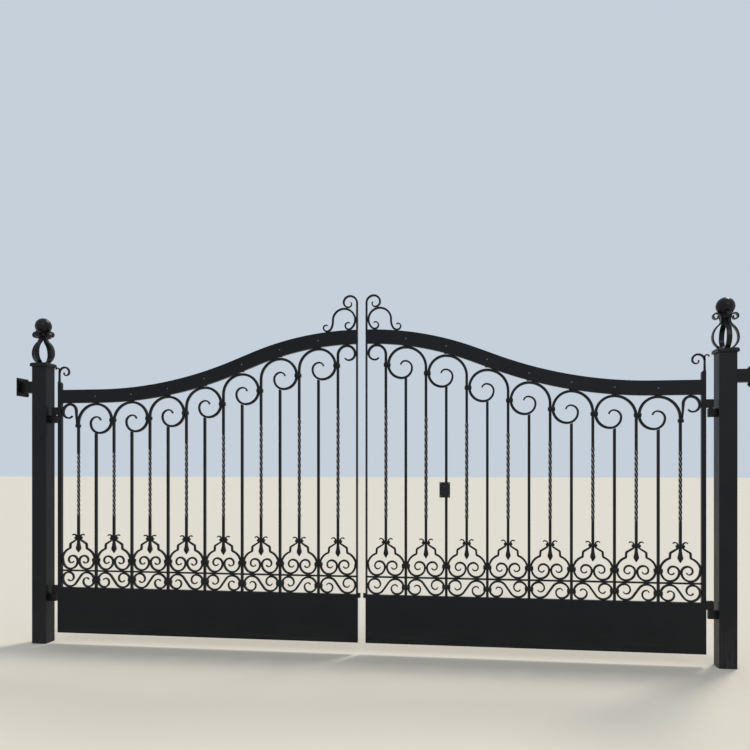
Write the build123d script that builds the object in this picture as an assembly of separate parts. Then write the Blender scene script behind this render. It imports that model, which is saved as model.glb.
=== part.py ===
from build123d import *
import math
import os

# Wrought iron driveway gate: two leaves hung on square posts. Each leaf has a swept top rail,
# bars with scroll heads, plain bars, a band of onion frames over S-scrolls, and a sheet kick
# panel. Millimetres, +Z up, +X from the left post to the right post, +Y to the
# road. The origin is the middle of the left post's foot. Both leaves open towards -Y.

# Bars of a leaf: bays between plain bars, with a scroll-headed bar in the middle of each
bay_count = 8
bay_width = 250.0
bar_size = 16.0
fit_gap = 0.3

# Bends are made of flats that touch the true curve. Their corners stand off it by about this.
bend_sag = 3.3

# Heights of a leaf, counted from its bottom edge
panel_height = 301.0
scroll_space = 106.0
band_thickness = 10.0
low_height = 1610.0

# Sweep of the top rail's upper edge
rail_rise = 347.0
crown_radius = 1890.0
straight_run = 136.0
level_run = 279.0

# Sections of the frame
rail_depth = 88.0
frame_depth = 25.0
hinge_stile_width = 25.0
meeting_stile_width = 10.0
stile_horn = 55.0
horn_bevel = 12.0
lower_rail_height = 30.0
bottom_rail_height = 25.0
sheet_thickness = 2.5

# Gaps round the leaves
ground_gap = 70.0
leaf_gap = 50.0
pin_offset = 30.0

# Scroll heads of the bars, as radii of quarter turns
crook_radius = 127.0
crook_inner_radii = (84.0, 63.0, 43.0)
crook_tip_radius = 28.0
crook_tip_turn = 80.0
crook_taper = 260.0
small_radius = 58.0
small_inner_radius = 40.0
small_tip_radius = 28.0
small_tip_turn = 60.0
small_taper = 120.0
scroll_tip = 9.0

# Bud at the foot of a scroll-headed bar, with heights above the band bar
bud_top = 192.0
bud_middle = 147.0
bud_point = 119.0
bud_width = 30.0
bud_depth = 24.0
bud_tip = 4.0

# Ornament strips: onion frames above the band bar, with heights counted from it
strip_size = 12.0
strip_tip = 6.0
onion_neck_height = 217.0
onion_neck_run = 12.0
onion_shoulder_top = (57.0, 178.0)
onion_shoulder_foot = (59.0, 147.0)
onion_girth_height = 72.0
onion_belly_radius = 68.0
onion_belly_turn = 40.0
onion_inner_radii = (35.0, 28.0, 20.0)
onion_tip_radius = 14.0
onion_tip_turn = 80.0
onion_taper = 150.0
curl_radius = 23.0
curl_tip_radius = 11.0
curl_tip_turn = 75.0
curl_taper = 50.0

# S-scrolls between the lower rail and the band bar
scroll_slant = 30.0
scroll_tilt = 55.0
scroll_inner_radii = (34.0, 24.0)
scroll_tip_radius = 14.5
scroll_tip_turn = 80.0
scroll_taper = 110.0

# Collars round the places where a bar and its scrolls touch
collar_wall = 5.0
collar_height = 24.0
neck_collar_height = 15.0
end_collar_drop = 16.0

# Crest on the meeting stile
crest_size = 12.0
crest_depth = 14.0
crest_loop_radii = (45.0, 40.0, 30.0, 20.0)
crest_arch_radius = 71.0
crest_leg_bends = ((86.0, 30.0), (31.0, 60.0))
crest_foot_radii = (22.0, 17.0)
crest_volute_bends = ((69.0, 50.0), (24.0, 40.0))
crest_volute_radii = (23.0, 20.0)
crest_tip_radius = 12.0
crest_tip_turn = 60.0
crest_taper = 90.0

# Scrolls on top of the hinge stile
horn_strip_size = 12.0
horn_strip_run = 79.0
horn_curl_radius = 13.0
horn_curl_turn = 80.0
horn_scroll_height = 58.0
horn_scroll_radii = (37.0, 32.0, 22.0)
horn_tip_radius = 14.0
horn_tip_turn = 120.0
horn_taper = 90.0

# Stop tab and lock box
tab_reach = 16.0
tab_height = 30.0
tab_depth = 12.0
tab_rise = 8.0
lock_width = 64.0
lock_height = 94.0
lock_depth = 30.0
lock_foot = 911.0
lock_offset = 8.0
lock_bay = 2

# Hinges: a leaf block with a bore stands over the pin of a post block
hinge_heights = (258.0, 1441.0)
hinge_gap = 4.0
hinge_block_height = 50.0
hinge_block_depth = 25.0
eye_beyond_pin = 12.0
pin_block_beyond = 18.0
pin_radius = 8.0
pin_clearance = 0.5
pin_recess = 2.0

# Posts with caps and wall brackets
post_size = 100.0
post_wall = 4.0
post_foot = 8.0
post_height = 1835.0
cap_size = 120.0
cap_thickness = 25.0
cap_bevel = 8.0
bracket_drop = 135.0
bracket_rise = 76.0
bracket_depth = 50.0
bracket_reach = 105.0
bracket_plate = 120.0
bracket_plate_thickness = 8.0

# Finial: a ball on four bent straps, with radii counted from the post's middle
ball_radius = 55.0
ball_sides = 12
strap_width = 30.0
strap_thickness = 8.0
strap_foot_radius = 34.0
strap_bulge_radius = 74.0
strap_bulge_height = 73.0
strap_neck_radius = 30.0
strap_neck_height = 153.0
strap_upper_share = 0.63
strap_neck_run = 27.0
strap_curl_radii = (23.0, 22.0, 17.0)
strap_tip_radius = 12.0
strap_tip_turn = 60.0

# Places worked out from the sizes above
half_bar = bar_size / 2
half_strip = strip_size / 2
half_frame = frame_depth / 2
band_height = panel_height + scroll_space + band_thickness / 2
high_height = low_height + rail_rise
leaf_run = bay_count * bay_width
hinge_face = leaf_run - half_bar
stile_face = hinge_face + hinge_stile_width
pin_x = stile_face + pin_offset
post_face = pin_x + pin_offset
meeting_face = half_bar - meeting_stile_width
post_middle = post_face + post_size / 2
cap_top = post_height + cap_thickness
bracket_height = post_height - bracket_drop
gate_middle = post_middle - meeting_face + leaf_gap / 2


class Strip:
    """Middle line of a bent bar in the leaf's plane, walked out in runs and turns."""

    def __init__(self, x, z, heading):
        self.x = x
        self.z = z
        self.heading = heading
        self.length = 0.0
        self.corners = [(x, z, heading, 0.0, 0.0)]

    def run(self, length):
        """Goes straight on."""
        self.x += length * math.cos(math.radians(self.heading))
        self.z += length * math.sin(math.radians(self.heading))
        self.length += length
        return self

    def turn(self, angle):
        """Turns on the spot. A positive angle turns left and a negative one turns right."""
        middle = self.heading + angle / 2
        self.corners.append((self.x, self.z, middle, angle / 2, self.length))
        self.heading += angle
        return self

    def bend(self, radius, angle):
        """Follows an arc in equal turns, by flats that touch it."""
        limit = 2 * math.degrees(math.acos(radius / (radius + bend_sag)))
        turns = max(round(abs(angle) / limit), 1)
        half_flat = radius * math.tan(math.radians(abs(angle) / turns / 2))
        for number in range(turns):
            self.run(half_flat).turn(angle / turns).run(half_flat)
        return self

    def run_to(self, x, z):
        """Turns towards a point and goes there."""
        heading = math.degrees(math.atan2(z - self.z, x - self.x))
        self.turn(math.remainder(heading - self.heading, 360))
        return self.run(math.hypot(x - self.x, z - self.z))

    def solid(self, thickness, depth, tip=0.0, taper=0.0):
        """The bar itself. Its last taper millimetres narrow to the tip's thickness."""
        left = []
        right = []
        end = (self.x, self.z, self.heading, 0.0, self.length)
        for x, z, heading, half_turn, walked in [*self.corners, end]:
            half = thickness / 2
            if taper:
                past = max(walked - self.length + taper, 0)
                half -= (thickness - tip) / 2 * past / taper
            mitre = half / math.cos(math.radians(half_turn))
            step_x = mitre * math.sin(math.radians(heading))
            step_z = mitre * math.cos(math.radians(heading))
            left.append((x - step_x, 0, z + step_z))
            right.append((x + step_x, 0, z - step_z))
        return plate(Polyline(*left, *reversed(right), close=True).edges(), depth)


def edge_through(points, curved):
    """An arc through three points, or a line."""
    if curved:
        return ThreePointArc(*points)
    return Line(points[0], points[2])


def plate(edges, depth):
    """A flat shape in the leaf's plane, as deep to the front as to the back."""
    return extrude(Face(Wire(edges)), amount=depth / 2, both=True)


def block(x_low, x_high, y_low, y_high, z_low, z_high):
    """A box from its low and high sides."""
    size = Box(x_high - x_low, y_high - y_low, z_high - z_low)
    return Pos((x_low + x_high) / 2, (y_low + y_high) / 2, (z_low + z_high) / 2) * size


# Top rail: a crown arc at the meeting side, a straight slope, a sweep arc and a level end.
# What lies under or on the rail takes its height from rail_level.
level_start = leaf_run - level_run
rail_angle = 2 * math.atan(rail_rise / (level_start + straight_run))
radii_sum = (level_start - straight_run * math.cos(rail_angle)) / math.sin(rail_angle)
sweep_radius = radii_sum - crown_radius


def rail_joints(drop):
    """Where the crown arc ends and where the sweep arc starts, drop below the upper edge."""
    crown_end = (crown_radius - drop) * math.sin(rail_angle)
    sweep_start = level_start - (sweep_radius + drop) * math.sin(rail_angle)
    return crown_end, sweep_start


def rail_level(x, drop=0.0):
    """Height of the line that lies drop millimetres square below the rail's upper edge."""
    crown_end, sweep_start = rail_joints(drop)
    if x < crown_end:
        crown = crown_radius - drop
        return high_height - crown_radius + math.sqrt(crown**2 - max(x, 0) ** 2)
    if x < sweep_start:
        return rail_level(sweep_start, drop) + (sweep_start - x) * math.tan(rail_angle)
    sweep = sweep_radius + drop
    back = max(level_start - x, 0)
    return low_height + sweep_radius - math.sqrt(sweep**2 - back**2)


def rail_slope(x, drop):
    """Fall of the same line in degrees."""
    crown_end, sweep_start = rail_joints(drop)
    if x < crown_end:
        return math.degrees(math.asin(x / (crown_radius - drop)))
    if x < sweep_start:
        return math.degrees(rail_angle)
    return math.degrees(math.asin(max(level_start - x, 0) / (sweep_radius + drop)))


def rail_edge(drop):
    """The rail's upper edge, or its underside, from the meeting stile to the hinge stile."""
    crown_end, sweep_start = rail_joints(drop)
    stops = (half_bar, crown_end, sweep_start, level_start, hinge_face)
    edges = []
    for start, stop, curved in zip(stops, stops[1:], (True, False, True, False)):
        points = [(x, 0, rail_level(x, drop)) for x in (start, (start + stop) / 2, stop)]
        edges.append(edge_through(points, curved))
    return edges


def top_rail():
    upper = rail_edge(0.0)
    lower = rail_edge(rail_depth)
    ends = [Line(upper[0] @ 0, lower[0] @ 0), Line(upper[-1] @ 1, lower[-1] @ 1)]
    return plate([*upper, *lower, *ends], frame_depth)


def hinge_stile():
    """Stile with a bevelled horn above the rail."""
    top = low_height + stile_horn
    outline = Polyline(
        (hinge_face, 0, 0),
        (stile_face, 0, 0),
        (stile_face, 0, top),
        (hinge_face + horn_bevel, 0, top),
        (hinge_face, 0, top - horn_bevel),
        close=True,
    )
    return plate(outline.edges(), frame_depth)


def meeting_stile():
    return block(meeting_face, half_bar, -half_frame, half_frame, 0, high_height)


def kick_frame():
    """Lower rail and bottom rail, between the stiles."""
    lower_foot = panel_height - lower_rail_height
    lower = block(half_bar, hinge_face, -half_frame, half_frame, lower_foot, panel_height)
    bottom = block(half_bar, hinge_face, -half_frame, half_frame, 0, bottom_rail_height)
    return Compound([lower, bottom])


def kick_sheet():
    """Sheet on the inside of the frame, from stile to stile."""
    front = -half_frame - sheet_thickness
    return block(meeting_face, stile_face, front, -half_frame, 0, panel_height)


def stop_tab():
    low = meeting_face - tab_reach
    top = panel_height + tab_rise
    return block(low, meeting_face, -tab_depth / 2, tab_depth / 2, top - tab_height, top)


# Scroll-headed bars: a bud at the foot, a straight shank, and a head that meets the rail
def headed_at(bay):
    """Place of the scroll-headed bar of a bay. Bays count from 0 at the meeting side."""
    return (bay + 0.5) * bay_width


def crook_under_rail(bay):
    """A head's first radius, how far the rail's edge is from its middle, and its middle's x."""
    radius = small_radius if bay == 0 else crook_radius
    return radius, rail_depth + radius + half_bar + fit_gap, headed_at(bay) - radius


def crook_start(bay):
    """Height where a bar starts to bend, so that its head just meets the rail."""
    radius, drop, middle = crook_under_rail(bay)
    return rail_level(middle, drop)


crook_reach = bay_width - crook_radius - bar_size - fit_gap
eye_x = crook_inner_radii[0] - crook_radius - crook_reach
eye_z = crook_radius - crook_reach + crook_inner_radii[1] - crook_inner_radii[0]
plain_lean = math.degrees(
    math.asin((-bay_width / 2 - eye_x) / (crook_inner_radii[1] + half_bar))
)


def headed_bar(bay):
    """A whole bar, with flats of its head where it meets the rail and the plain bar."""
    x = headed_at(bay)
    foot = band_height + bud_top
    radius, drop, middle = crook_under_rail(bay)
    slope = rail_slope(middle, drop)
    strip = Strip(x, foot, 90).run(crook_start(bay) - foot)
    strip.bend(radius, 90 - slope).bend(radius, slope)
    if bay == 0:
        strip.bend(x - half_bar - radius - half_bar - fit_gap, 90)
        strip.bend(small_inner_radius, 90).bend(small_tip_radius, small_tip_turn)
        bar = strip.solid(bar_size, bar_size, scroll_tip, small_taper)
    else:
        strip.bend(crook_reach, 90).bend(crook_inner_radii[0], 90)
        strip.bend(crook_inner_radii[1], plain_lean)
        strip.bend(crook_inner_radii[1], 90 - plain_lean)
        strip.bend(crook_inner_radii[2], 90).bend(crook_tip_radius, crook_tip_turn)
        bar = strip.solid(bar_size, bar_size, scroll_tip, crook_taper)
    return bar + Pos(x, 0, band_height) * bud()


def bud():
    """Pointed bud about the band bar's height, cut from its front and its side outline."""
    front = plate(bud_outline(bud_width), bud_depth)
    return front & Rot(0, 0, 90) * plate(bud_outline(bud_depth), bud_width)


def bud_outline(width):
    half = width / 2
    half_tip = bud_tip / 2
    right = [(half_bar, 0, bud_top), (half, 0, bud_middle), (half_tip, 0, bud_point)]
    left = [(-x, 0, z) for x, _, z in reversed(right)]
    return Polyline(*right, *left, close=True).edges()


end_bar = headed_at(bay_count - 1)
end_collar_level = crook_start(bay_count - 1) - end_collar_drop


def end_scroll():
    """Small scroll from the last headed bar to the hinge stile, on the bar's outer side."""
    x = end_bar + bar_size + fit_gap
    first = small_radius - bar_size
    second = hinge_face - half_bar - fit_gap - x - first
    bend_level = rail_level(x + first, rail_depth + first + half_bar + fit_gap)
    foot = end_collar_level - collar_height / 2
    strip = Strip(x, foot, 90).run(bend_level - foot).bend(first, -90).bend(second, -90)
    strip.bend(small_inner_radius, -90).bend(small_tip_radius, -small_tip_turn)
    return strip.solid(bar_size, bar_size, scroll_tip, small_taper)


def scroll_bars():
    bars = [headed_bar(bay) for bay in range(bay_count)]
    return Compound([*bars, end_scroll()])


def plain_bar(number):
    """Plain bar on the lower rail, with its top cut to the flat of the head above it."""
    x = number * bay_width
    lean = math.radians(plain_lean)
    below = (crook_inner_radii[1] + half_bar) * math.cos(lean) + fit_gap / math.cos(lean)
    top = crook_start(number) + eye_z - below
    rise = half_bar * math.tan(lean)
    low_left = (x - half_bar, 0, panel_height)
    low_right = (x + half_bar, 0, panel_height)
    top_left = (x - half_bar, 0, top - rise)
    top_right = (x + half_bar, 0, top + rise)
    outline = Polyline(low_left, low_right, top_right, top_left, close=True)
    return plate(outline.edges(), bar_size)


def plain_bars():
    return Compound([plain_bar(number) for number in range(1, bay_count)])


# Ornament band: a thin bar in lengths between the plain bars, onion frames and S-scrolls
def band_bar():
    half = band_thickness / 2
    lengths = []
    for bay in range(bay_count):
        low = bay * bay_width + half_bar
        high = low + bay_width - bar_size
        lengths.append(
            block(low, high, -half_bar, half_bar, band_height - half, band_height + half)
        )
    return Compound(lengths)


neck_x = half_bar + fit_gap + half_strip
girth_x = bay_width / 2 - half_bar - fit_gap - half_strip


def onion_side():
    """Right-hand strip of an onion frame, about its bay's middle and the band bar."""
    curl = Strip(neck_x, onion_neck_height, 90)
    curl.bend(curl_radius, -90).bend(curl_tip_radius, -curl_tip_turn)
    body = Strip(neck_x, onion_neck_height, -90).run(onion_neck_run)
    body.run_to(*onion_shoulder_top)
    body.run_to(*onion_shoulder_foot)
    # From the shoulder the strip swings out until it is upright at the girth
    rise = onion_shoulder_foot[1] - onion_girth_height
    reach = girth_x - onion_shoulder_foot[0]
    swing_radius = (reach**2 + rise**2) / (2 * reach)
    swing = math.degrees(math.asin(rise / swing_radius))
    body.turn(swing - 90 - body.heading).bend(swing_radius, -swing)
    # The belly's second bend ends level on the band bar
    foot = band_thickness / 2 + fit_gap + half_strip
    turned = math.sin(math.radians(onion_belly_turn))
    second_radius = (onion_girth_height - foot - onion_belly_radius * turned) / (1 - turned)
    body.bend(onion_belly_radius, -onion_belly_turn)
    body.bend(second_radius, onion_belly_turn - 90)
    body.bend(body.x - half_strip - fit_gap / 2, -90)
    for radius in onion_inner_radii:
        body.bend(radius, -90)
    body.bend(onion_tip_radius, -onion_tip_turn)
    lower = body.solid(strip_size, bar_size, strip_tip, onion_taper)
    return lower + curl.solid(strip_size, bar_size, strip_tip, curl_taper)


def onion_frames():
    side = onion_side()
    frames = []
    for bay in range(bay_count):
        place = Pos(headed_at(bay), 0, band_height)
        frames += [place * side, place * mirror(side, about=Plane.YZ)]
    return Compound(frames)


scroll_top = scroll_space / 2 - half_strip - fit_gap
scroll_middle = panel_height + scroll_space / 2


def band_scroll():
    """S-scroll about its own middle. Each half is the other one turned by half a turn."""
    tilt = math.radians(scroll_tilt)
    radius = (scroll_top - scroll_slant * math.sin(tilt)) / (1 - math.cos(tilt))
    strip = Strip(0, 0, scroll_tilt).run(scroll_slant).bend(radius, -scroll_tilt)
    strip.bend(girth_x - strip.x, -90)
    strip.bend(strip.z + scroll_top, -90)
    for inner in scroll_inner_radii:
        strip.bend(inner, -90)
    strip.bend(scroll_tip_radius, -scroll_tip_turn)
    half = strip.solid(strip_size, bar_size, strip_tip, scroll_taper)
    return half + Rot(0, 180, 0) * half


def band_scrolls():
    scroll = band_scroll()
    scrolls = []
    for bay in range(bay_count):
        shape = scroll if bay % 2 == 0 else mirror(scroll, about=Plane.YZ)
        scrolls.append(Pos(headed_at(bay), 0, scroll_middle) * shape)
    return Compound(scrolls)


def collar(x_low, x_high, z, height):
    """Band round what stands between two sides."""
    hole_y = half_bar + fit_gap
    side_y = hole_y + collar_wall
    hole_low = x_low - fit_gap
    hole_high = x_high + fit_gap
    low = z - height / 2
    high = z + height / 2
    outer = block(hole_low - collar_wall, hole_high + collar_wall, -side_y, side_y, low, high)
    return outer - block(hole_low, hole_high, -hole_y, hole_y, low, high)


def collars():
    """Collars of a leaf at the scroll heads, the end scroll and the onions' necks."""
    pieces = []
    for bay in range(1, bay_count):
        bar = headed_at(bay - 1)
        level = crook_start(bay) + crook_radius - crook_reach
        side = bar + half_bar + fit_gap + bar_size
        pieces.append(collar(bar - half_bar, side, level, collar_height))
    side = end_bar + half_bar + fit_gap + bar_size
    pieces.append(collar(end_bar - half_bar, side, end_collar_level, collar_height))
    neck = neck_x + half_strip
    for bay in range(bay_count):
        bar = headed_at(bay)
        level = band_height + onion_neck_height
        pieces.append(collar(bar - neck, bar + neck, level, neck_collar_height))
    return Compound(pieces)


# Crest: a loop from the meeting stile, resting on an arch that stands on the rail
crest_x = (meeting_face + half_bar) / 2


def crest_seat(x, radius):
    """Height of a foot's middle line at the bend's lowest point, and the rail's fall there."""
    drop = -(radius + crest_size / 2 + fit_gap)
    return rail_level(x, drop) - radius, rail_slope(x, drop)


def crest_foot(strip, bends, fall, radii):
    """Bends down to the rail, with a flat along it, and curls up."""
    (first, first_turn), (second, second_turn) = bends
    strip.bend(first, first_turn).bend(second, second_turn - fall)
    strip.bend(radii[0], 90 + fall).bend(radii[1], 90)
    return strip.bend(crest_tip_radius, crest_tip_turn)


def crest_loop(arch_x, arch_z):
    """Loop, and how far from upright its third bend leans on the arch."""
    first, second, third, fourth = crest_loop_radii
    across = arch_x - (crest_x + first + second - third)
    between = third + crest_arch_radius + crest_size + fit_gap
    lean = math.degrees(math.asin(across / between))
    start = arch_z + between * math.cos(math.radians(lean)) + second - first
    loop = Strip(crest_x, high_height, 90).run(start - high_height)
    loop.bend(first, -90).bend(second, -90).bend(third, lean - 90).bend(third, -lean)
    loop.bend(fourth, -90).bend(crest_tip_radius, -crest_tip_turn)
    return loop, lean


def crest_scrolls():
    arch_x = crest_x + crest_size + fit_gap + crest_arch_radius
    # The volute sits on the rail and settles the arch's height, and the leg reaches the rail
    volute = Strip(arch_x - crest_arch_radius, 0, -90)
    for radius, turn in crest_volute_bends:
        volute.bend(radius, turn)
    volute_seat, volute_fall = crest_seat(volute.x, crest_volute_bends[-1][0])
    arch_z = volute_seat - volute.z
    leg = Strip(arch_x + crest_arch_radius, arch_z, -90)
    for radius, turn in crest_leg_bends:
        leg.bend(radius, turn)
    leg_seat, leg_fall = crest_seat(leg.x, crest_leg_bends[-1][0])
    loop, lean = crest_loop(arch_x, arch_z)
    # Both arms of the arch start under the loop
    top_x = arch_x - crest_arch_radius * math.sin(math.radians(lean))
    top_z = arch_z + crest_arch_radius * math.cos(math.radians(lean))
    left = Strip(top_x, top_z, 180 + lean).bend(crest_arch_radius, 90 - lean)
    crest_foot(left, crest_volute_bends, volute_fall, crest_volute_radii)
    right = Strip(top_x, top_z, lean).bend(crest_arch_radius, -90 - lean)
    right.run(leg.z - leg_seat)
    crest_foot(right, crest_leg_bends, leg_fall, crest_foot_radii)
    section = (crest_size, crest_depth, strip_tip, crest_taper)
    return Compound([loop.solid(*section), left.solid(*section) + right.solid(*section)])


def stile_scrolls():
    """Strip on the hinge stile that splits into an outward curl and an inward scroll."""
    x = stile_face - horn_strip_size / 2
    foot = low_height + stile_horn
    stem = Strip(x, foot, 90).run(horn_strip_run)
    stem.bend(horn_curl_radius, -90).bend(horn_curl_radius, -horn_curl_turn)
    scroll = Strip(x, foot + horn_scroll_height, 90)
    for radius in horn_scroll_radii:
        scroll.bend(radius, 90)
    scroll.bend(horn_tip_radius, horn_tip_turn)
    curl = stem.solid(horn_strip_size, crest_depth, strip_tip, horn_taper)
    return curl + scroll.solid(crest_size, crest_depth, strip_tip, horn_taper)


def lock_box():
    middle = lock_bay * bay_width - lock_offset
    back = -half_bar - fit_gap
    low = middle - lock_width / 2
    high = low + lock_width
    return block(low, high, back - lock_depth, back, lock_foot, lock_foot + lock_height)


# Hinges
def hinge_eye(level):
    """Block on the hinge stile with a bore for the pin."""
    low = level + hinge_gap
    high = low + hinge_block_height
    half = hinge_block_depth / 2
    solid = block(stile_face, pin_x + eye_beyond_pin, -half, half, low, high)
    bore = Pos(pin_x, 0, (low + high) / 2) * Cylinder(pin_radius + pin_clearance, high - low)
    return solid - bore


def hinge_pin(level):
    """Block on the post with an upright pin."""
    half = hinge_block_depth / 2
    low = level - hinge_block_height
    solid = block(pin_x - pin_block_beyond, post_face, -half, half, low, level)
    pin_height = hinge_gap + hinge_block_height - pin_recess
    pin = Pos(pin_x, 0, level + pin_height / 2) * Cylinder(pin_radius, pin_height)
    return solid + pin


# Posts, about the middle of the right post's foot
def post():
    half = post_size / 2
    shaft = block(-half, half, -half, half, 0, post_height)
    inner = half - post_wall
    return shaft - block(-inner, inner, -inner, inner, post_foot, post_height)


def post_cap():
    half = cap_size / 2
    cap = block(-half, half, -half, half, post_height, cap_top)
    return chamfer(cap.faces().sort_by(Axis.Z)[-1].edges(), cap_bevel)


def wall_bracket():
    """Stub from the post's outer face to the wall, with an end plate."""
    face = post_size / 2
    low = bracket_height - bracket_rise / 2
    half = bracket_depth / 2
    plate_face = face + bracket_reach - bracket_plate_thickness
    stub = block(face, plate_face, -half, half, low, low + bracket_rise)
    side = bracket_plate / 2
    low_plate = bracket_height - side
    high_plate = low_plate + bracket_plate
    return stub + block(plate_face, face + bracket_reach, -side, side, low_plate, high_plate)


def strap_line():
    """A strap of the finial up to its curl: bulge, neck and a short run."""
    reach = strap_bulge_radius - strap_foot_radius
    lean = 90 - 2 * math.degrees(math.atan(reach / strap_bulge_height))
    lift = strap_thickness / 2 * math.cos(math.radians(lean)) + fit_gap
    strap = Strip(strap_foot_radius, lift, lean)
    strap.bend((strap_bulge_height - lift) / math.cos(math.radians(lean)), 90 - lean)
    inward = strap.x - strap_neck_radius
    upward = strap_neck_height - strap.z
    turn = 2 * math.degrees(math.atan(inward / upward))
    both = upward / math.sin(math.radians(turn))
    strap.bend(both * strap_upper_share, turn).bend(both * (1 - strap_upper_share), -turn)
    return strap.run(strap_neck_run)


def finial():
    """Four straps and the ball that rests in their curls, about the post's middle."""
    strap = strap_line()
    first, *others = strap_curl_radii
    between = ball_radius + fit_gap + strap_thickness / 2 + first
    lean = math.degrees(math.asin((strap.x + first) / between))
    ball_height = cap_top + strap.z + between * math.cos(math.radians(lean))
    # The curl has a flat where the ball touches it
    strap.bend(first, lean - 90).bend(first, -lean)
    for radius in others:
        strap.bend(radius, -90)
    strap.bend(strap_tip_radius, -strap_tip_turn)
    shape = Pos(0, 0, cap_top) * strap.solid(strap_thickness, strap_width)
    straps = [Rot(0, 0, quarter * 90) * shape for quarter in range(4)]
    return straps, Pos(0, 0, ball_height) * ball()


def ball():
    """Ball of flat faces: the same many-sided plate crossed with itself all round."""
    ring = [2 * math.pi * (number + 0.5) / ball_sides for number in range(ball_sides)]
    corners = [(ball_radius * math.sin(at), 0, ball_radius * math.cos(at)) for at in ring]
    side = plate(Polyline(*corners, close=True).edges(), 2 * ball_radius)
    shape = side
    for number in range(1, ball_sides // 2):
        shape &= Rot(0, 0, number * 360 / ball_sides) * side
    return shape


# All pieces: a leaf is drawn as the right one, and the left one is its mirror image
def leaf_place(side):
    middle = gate_middle + side * (leaf_gap / 2 - meeting_face)
    return Pos(middle, 0, ground_gap)


def placed(shape, side, place):
    """Puts a right-hand piece at its place, or its mirror image on the left."""
    if side < 0:
        shape = mirror(shape, about=Plane.YZ)
    return place * shape


def leaf_parts(name, side):
    parts = {
        "hinge_stile": hinge_stile(),
        "meeting_stile": meeting_stile(),
        "top_rail": top_rail(),
        "kick_frame": kick_frame(),
        "kick_sheet": kick_sheet(),
        "stop_tab": stop_tab(),
        "scroll_bars": scroll_bars(),
        "plain_bars": plain_bars(),
        "band_bar": band_bar(),
        "onion_frames": onion_frames(),
        "band_scrolls": band_scrolls(),
        "collars": collars(),
        "crest_scrolls": crest_scrolls(),
        "stile_scrolls": stile_scrolls(),
        "hinge_eyes": Compound([hinge_eye(level) for level in hinge_heights]),
    }
    if side > 0:
        parts["lock_box"] = lock_box()
    place = leaf_place(side)
    return {f"{name}_{node}": placed(shape, side, place) for node, shape in parts.items()}


def fixed_parts(name, side):
    leaf = leaf_place(side)
    foot = Pos(gate_middle + side * gate_middle, 0, 0)
    parts = {
        f"{name}_post": foot * post(),
        f"{name}_post_cap": foot * post_cap(),
        f"{name}_wall_bracket": placed(wall_bracket(), side, foot),
    }
    pins = Compound([hinge_pin(level) for level in hinge_heights])
    parts[f"{name}_hinge_pins"] = placed(pins, side, leaf)
    return parts


def finials():
    straps, ball = finial()
    feet = [Pos(0, 0, 0), Pos(2 * gate_middle, 0, 0)]
    return {
        "finial_straps": Compound([foot * strap for foot in feet for strap in straps]),
        "finial_balls": Compound([foot * ball for foot in feet]),
    }


os.makedirs("parts", exist_ok=True)
nodes = finials()
for name, side in (("left", -1), ("right", 1)):
    nodes.update(fixed_parts(name, side))
    nodes.update(leaf_parts(name, side))
for node, shape in nodes.items():
    export_step(shape, f"parts/{node}.step")
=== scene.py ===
import math

import bmesh
import bpy
from mathutils import Matrix, Vector


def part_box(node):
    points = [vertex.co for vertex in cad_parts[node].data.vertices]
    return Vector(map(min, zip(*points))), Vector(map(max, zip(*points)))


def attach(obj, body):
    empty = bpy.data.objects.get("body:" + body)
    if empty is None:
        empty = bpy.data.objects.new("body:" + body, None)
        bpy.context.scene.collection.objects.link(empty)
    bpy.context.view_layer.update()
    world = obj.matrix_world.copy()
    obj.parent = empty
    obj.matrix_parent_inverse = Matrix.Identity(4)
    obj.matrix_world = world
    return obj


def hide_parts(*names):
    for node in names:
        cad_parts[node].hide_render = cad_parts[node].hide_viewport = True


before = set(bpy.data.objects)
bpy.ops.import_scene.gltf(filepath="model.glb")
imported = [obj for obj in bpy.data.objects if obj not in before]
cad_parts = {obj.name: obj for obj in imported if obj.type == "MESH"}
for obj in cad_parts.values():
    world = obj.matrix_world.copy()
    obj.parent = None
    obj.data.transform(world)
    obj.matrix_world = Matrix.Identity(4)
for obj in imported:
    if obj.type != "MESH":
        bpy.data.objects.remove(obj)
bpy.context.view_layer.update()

# Posts: square steel tubes, 100 mm wide, each with a flat cap and a short side arm to an end plate.
# They are welded and brushed with satin black paint, which has gone chalky, is paler on its upward faces as
# painted top light, and holds dust low down.


def add(tree, kind, inputs, **settings):
    """Puts a node in a tree, joins or sets its inputs, and gives its outputs."""
    node = tree.nodes.new(kind)
    for name, value in settings.items():
        setattr(node, name, value)
    for key, value in inputs.items():
        socket = node.inputs[key]
        if isinstance(value, bpy.types.NodeSocket):
            tree.links.new(value, socket)
        else:
            socket.default_value = value
    return node.outputs


def calculated(tree, operation, *terms, clamp=False):
    """Result of a sum such as ADD, MULTIPLY or MULTIPLY_ADD."""
    settings = {"operation": operation, "use_clamp": clamp}
    return add(tree, "ShaderNodeMath", dict(enumerate(terms)), **settings)[0]


def ranged(tree, value, start, end, low=0.0, high=1.0):
    """Goes from low to high while a value goes from start to end."""
    inputs = {"Value": value, "From Min": start, "From Max": end, "To Min": low, "To Max": high}
    return add(tree, "ShaderNodeMapRange", inputs)[0]


def noise(tree, place, scale, detail, roughness=0.5):
    """Soft random pattern from 0 to 1."""
    inputs = {"Vector": place, "Scale": scale, "Detail": detail, "Roughness": roughness}
    return add(tree, "ShaderNodeTexNoise", inputs)[0]


def laid_over(tree, share, under, over):
    """One colour with a share of another laid over it."""
    return add(tree, "ShaderNodeMix", {"Factor": share, 6: under, 7: over}, data_type="RGBA")[2]


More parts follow.
